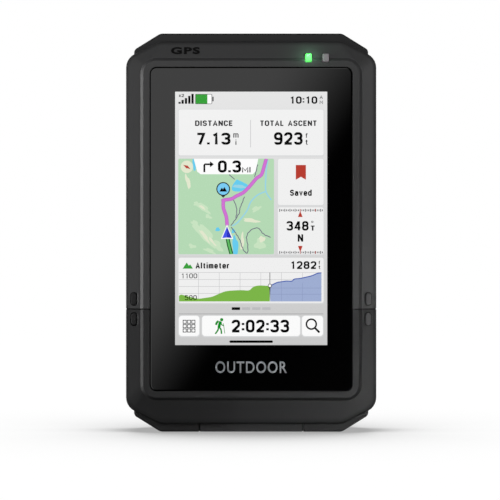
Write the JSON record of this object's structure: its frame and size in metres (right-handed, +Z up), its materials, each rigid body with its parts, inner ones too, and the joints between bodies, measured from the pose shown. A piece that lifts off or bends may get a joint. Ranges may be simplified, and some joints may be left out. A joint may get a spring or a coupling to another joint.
{
  "type": "handheld satellite navigator",
  "caption": "Pocket outdoor navigator with a touch screen, side keys, a rear mounting rail and a hinged cap over its charging port.",
  "frame": {"origin": "middle of the unit's footprint, on the surface its lower edge stands on", "axes": "+Z up along the unit's height, -Y out of the screen, +Y out of the back, +X to the right seen from the front"},
  "size_m": [0.0644, 0.0244, 0.103],
  "materials": {
    "housing_plastic": "fine-grained black polycarbonate",
    "chassis_plastic": "glass-filled black nylon",
    "bezel_plastic": "satin dark grey, softly edged",
    "bezel_rubber": "matte over-moulded elastomer",
    "cover_glass": "polished, black ink border",
    "foam": "closed-cell foam",
    "display_panel": "lit liquid crystal panel",
    "steel": "plain stamped or turned",
    "dark_steel": "black oxide",
    "board_resist": "green solder resist",
    "flex_circuit": "polyimide film",
    "antenna_ceramic": "fired ceramic",
    "battery_wrap": "heat-shrunk film",
    "chip_epoxy": "moulded epoxy",
    "soft_rubber": "matte silicone",
    "key_rubber": "matte, slightly grained",
    "green_lens": "clear, lit green",
    "grey_lens": "smoked clear plastic",
    "white_plastic": "plain white"
  },
  "bodies": {
    "case": {"rear_housing": "housing_plastic", "front_chassis": "chassis_plastic", "bezel_upper": "bezel_plastic", "bezel_lower": "bezel_rubber", "cover_glass": "cover_glass", "glass_gasket": "foam", "display_panel": "display_panel", "display_backlight": "steel", "display_flex_cable": "flex_circuit", "housing_seal": "soft_rubber", "main_board": "board_resist", "processor_shield": "steel", "receiver_shield": "steel", "satellite_antenna": "antenna_ceramic", "pressure_sensor": "chip_epoxy", "beeper": "chip_epoxy", "battery_connector": "white_plastic", "battery_pack": "battery_wrap", "battery_pad": "foam", "usb_shell": "steel", "usb_tongue": "chip_epoxy", "power_switch": "chip_epoxy", "user_switch": "chip_epoxy", "status_light_pipe": "green_lens", "light_sensor_pipe": "grey_lens", "status_led": "green_lens", "light_sensor_chip": "chip_epoxy", "vent_membrane": "white_plastic", "case_screw_lower_left": "dark_steel", "case_screw_lower_right": "dark_steel", "case_screw_middle_left": "dark_steel", "case_screw_middle_right": "dark_steel", "case_screw_upper_left": "dark_steel", "case_screw_upper_right": "dark_steel", "board_screw_lower_left": "steel", "board_screw_lower_right": "steel", "board_screw_upper_left": "steel", "board_screw_upper_right": "steel", "seam_plug_upper_left": "soft_rubber", "seam_plug_upper_right": "soft_rubber", "seam_plug_lower_left": "soft_rubber", "seam_plug_lower_right": "soft_rubber", "mount_rail": "housing_plastic", "rail_screw_lower": "dark_steel", "rail_screw_upper": "dark_steel", "grip_pad_left": "soft_rubber", "grip_pad_right": "soft_rubber", "lanyard_bar": "steel", "cap_hinge_pin": "steel"},
    "power_key": {"power_button": "key_rubber", "power_button_seal": "soft_rubber"},
    "user_key": {"user_button": "key_rubber", "user_button_seal": "soft_rubber"},
    "port_cap": {"usb_cap": "bezel_rubber", "usb_cap_seal": "soft_rubber"}
  },
  "joints": [
    {"name": "power_key_press", "type": "slide", "parent": "case", "child": "power_key", "axis": [-1, 0, 0], "range_m": [0, 0.0005], "stiffness_N_per_m": 800, "springref_m": -0.0008},
    {"name": "user_key_press", "type": "slide", "parent": "case", "child": "user_key", "axis": [1, 0, 0], "range_m": [0, 0.0005], "stiffness_N_per_m": 800, "springref_m": -0.0008},
    {"name": "port_cap_hinge", "type": "hinge", "parent": "case", "child": "port_cap", "pos_m": [0, 0.00425, 0.00115], "axis": [1, 0, 0], "range_deg": [0, 95]}
  ]
}
